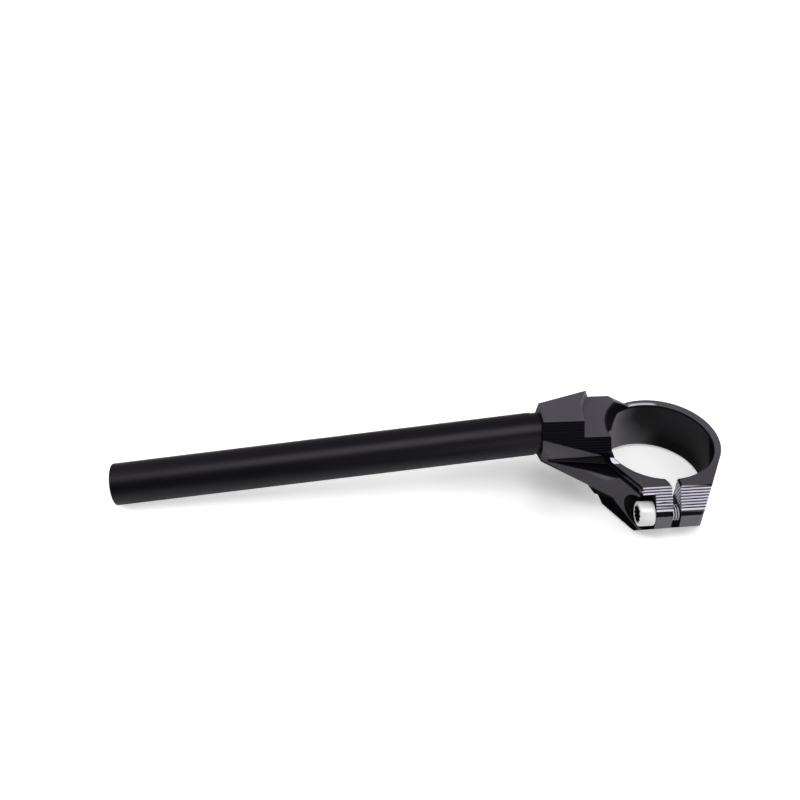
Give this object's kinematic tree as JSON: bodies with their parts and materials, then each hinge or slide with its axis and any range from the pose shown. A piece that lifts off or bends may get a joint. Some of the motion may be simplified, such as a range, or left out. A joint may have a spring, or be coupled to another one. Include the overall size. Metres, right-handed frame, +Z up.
{
  "type": "clip on handlebar",
  "caption": "Milled split fork clamp with a raised boss that carries a round handlebar tube, closed by a pinch screw in a side pocket.",
  "frame": {"origin": "middle of the fork bore, halfway up the ring", "axes": "+Z up along the fork axis, -X towards the free end of the bar, -Y towards the pinch slit"},
  "size_m": [0.3148, 0.0764, 0.056],
  "materials": {
    "clamp_body": "black anodised, satin, fine milling marks",
    "bar_tube": "black anodised, semi-gloss",
    "screw_steel": "bright stainless steel"
  },
  "bodies": {
    "root": {"clamp": "clamp_body", "tube": "bar_tube", "screw": "screw_steel"}
  },
  "joints": []
}
